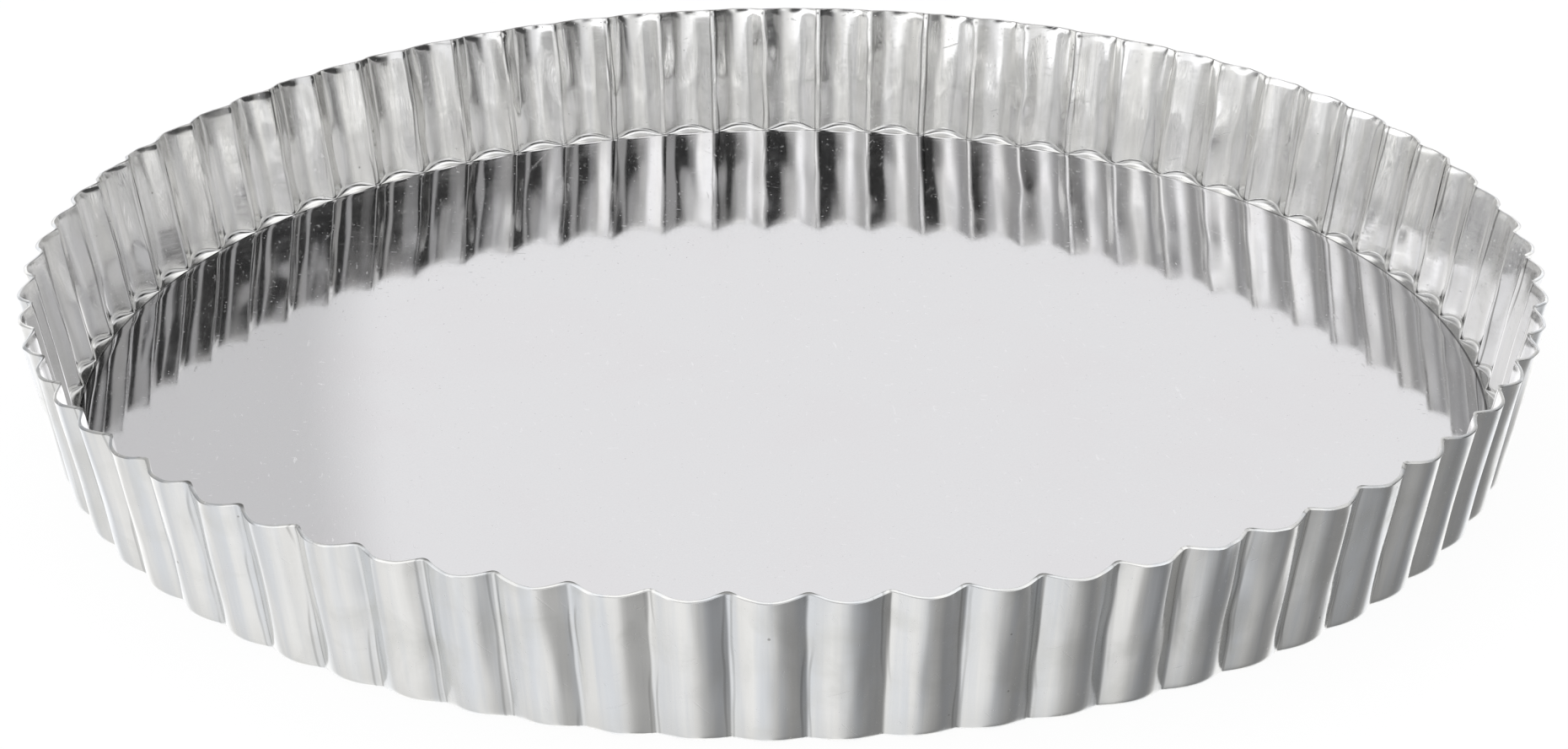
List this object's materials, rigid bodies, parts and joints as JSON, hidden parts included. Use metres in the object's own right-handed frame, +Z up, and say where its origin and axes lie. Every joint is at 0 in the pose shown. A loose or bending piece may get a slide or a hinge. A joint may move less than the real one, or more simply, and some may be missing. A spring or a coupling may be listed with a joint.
{
  "type": "tart pan",
  "caption": "Round fluted tart pan with a flared, crimped wall and a flat loose base that pushes up out of the ring.",
  "frame": {"origin": "centre of the underside, on the surface that the pan stands on", "axes": "+Z up along the pan's axis, +X through a crease between two flutes"},
  "size_m": [0.2536, 0.2536, 0.0254],
  "materials": {
    "ring_tinplate": "bright tin-plated steel, pressed, satin on the outside",
    "base_tinplate": "bright tin-plated steel, rolled flat, near mirror"
  },
  "bodies": {
    "ring": {"fluted_ring": "ring_tinplate"},
    "base": {"loose_base": "base_tinplate"}
  },
  "joints": [
    {"name": "base_lift", "type": "slide", "parent": "ring", "child": "base", "axis": [0, 0, 1], "range_m": [0, 0.04]}
  ]
}
